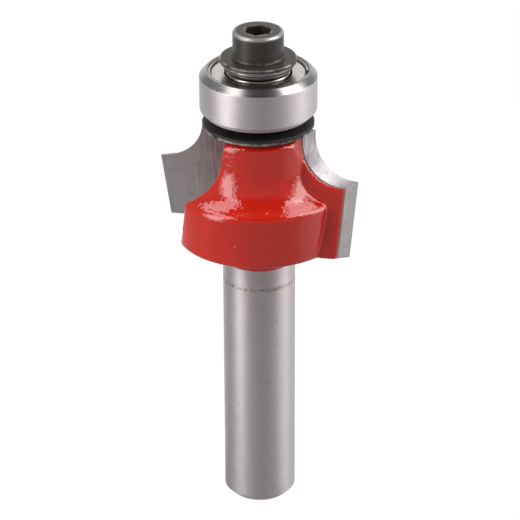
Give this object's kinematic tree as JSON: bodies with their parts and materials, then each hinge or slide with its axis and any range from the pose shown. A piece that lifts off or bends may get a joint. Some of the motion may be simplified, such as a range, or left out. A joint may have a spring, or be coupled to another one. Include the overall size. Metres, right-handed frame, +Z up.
{
  "type": "router bit",
  "caption": "Rounding-over router bit with a ball-bearing guide: ground steel shank, red limiter head, brazed carbide tips, guide bearing held by a cap screw.",
  "frame": {"origin": "centre of the shank's end face, on which the bit stands", "axes": "+Z up the bit's axis from the shank end to the cap screw; the rake faces of both tips run along X"},
  "size_m": [0.0224, 0.0182, 0.0565],
  "materials": {
    "red_head": "glossy",
    "carbide": "satin",
    "black_oxide": "satin",
    "bearing_steel": "satin",
    "ball_steel": "glossy",
    "cage_steel": "satin",
    "shield_steel": "satin"
  },
  "bodies": {
    "bit": {"cutter_body": "red_head", "carbide_tip_1": "carbide", "carbide_tip_2": "carbide", "dust_washer": "black_oxide", "lower_spacer": "black_oxide", "bearing_inner_ring": "bearing_steel", "top_washer": "black_oxide", "cap_screw": "black_oxide"},
    "guide_ring": {"bearing_outer_ring": "bearing_steel", "shield_upper": "shield_steel", "shield_lower": "shield_steel", "shield_clip_upper": "shield_steel", "shield_clip_lower": "shield_steel"},
    "cage": {"cage_upper_half": "cage_steel", "cage_lower_half": "cage_steel", "cage_rivets": "cage_steel"},
    "ball_1": {"bearing_ball_1": "ball_steel"},
    "ball_2": {"bearing_ball_2": "ball_steel"},
    "ball_3": {"bearing_ball_3": "ball_steel"},
    "ball_4": {"bearing_ball_4": "ball_steel"},
    "ball_5": {"bearing_ball_5": "ball_steel"},
    "ball_6": {"bearing_ball_6": "ball_steel"},
    "ball_7": {"bearing_ball_7": "ball_steel"}
  },
  "joints": [
    {"name": "guide_ring_spin", "type": "hinge", "parent": "bit", "child": "guide_ring", "pos_m": [0, 0, 0.04954], "axis": [0, 0, 1], "continuous": true},
    {"name": "cage_orbit", "type": "hinge", "parent": "bit", "child": "cage", "pos_m": [0, 0, 0.04954], "axis": [0, 0, 1], "continuous": true},
    {"name": "ball_1_roll", "type": "hinge", "parent": "cage", "child": "ball_1", "pos_m": [0.00436, 0, 0.04954], "axis": [0, 0, 1], "continuous": true},
    {"name": "ball_2_roll", "type": "hinge", "parent": "cage", "child": "ball_2", "pos_m": [0.00272, 0.00341, 0.04954], "axis": [0, 0, 1], "continuous": true},
    {"name": "ball_3_roll", "type": "hinge", "parent": "cage", "child": "ball_3", "pos_m": [-0.00097, 0.00426, 0.04954], "axis": [0, 0, 1], "continuous": true},
    {"name": "ball_4_roll", "type": "hinge", "parent": "cage", "child": "ball_4", "pos_m": [-0.00393, 0.00189, 0.04954], "axis": [0, 0, 1], "continuous": true},
    {"name": "ball_5_roll", "type": "hinge", "parent": "cage", "child": "ball_5", "pos_m": [-0.00393, -0.00189, 0.04954], "axis": [0, 0, 1], "continuous": true},
    {"name": "ball_6_roll", "type": "hinge", "parent": "cage", "child": "ball_6", "pos_m": [-0.00097, -0.00426, 0.04954], "axis": [0, 0, 1], "continuous": true},
    {"name": "ball_7_roll", "type": "hinge", "parent": "cage", "child": "ball_7", "pos_m": [0.00272, -0.00341, 0.04954], "axis": [0, 0, 1], "continuous": true}
  ],
  "couplings": [
    {"joint": "cage_orbit", "follows": "guide_ring_spin", "ratio": 0.63631},
    {"joint": "ball_1_roll", "follows": "guide_ring_spin", "ratio": 1.6977},
    {"joint": "ball_2_roll", "follows": "guide_ring_spin", "ratio": 1.6977},
    {"joint": "ball_3_roll", "follows": "guide_ring_spin", "ratio": 1.6977},
    {"joint": "ball_4_roll", "follows": "guide_ring_spin", "ratio": 1.6977},
    {"joint": "ball_5_roll", "follows": "guide_ring_spin", "ratio": 1.6977},
    {"joint": "ball_6_roll", "follows": "guide_ring_spin", "ratio": 1.6977},
    {"joint": "ball_7_roll", "follows": "guide_ring_spin", "ratio": 1.6977}
  ]
}
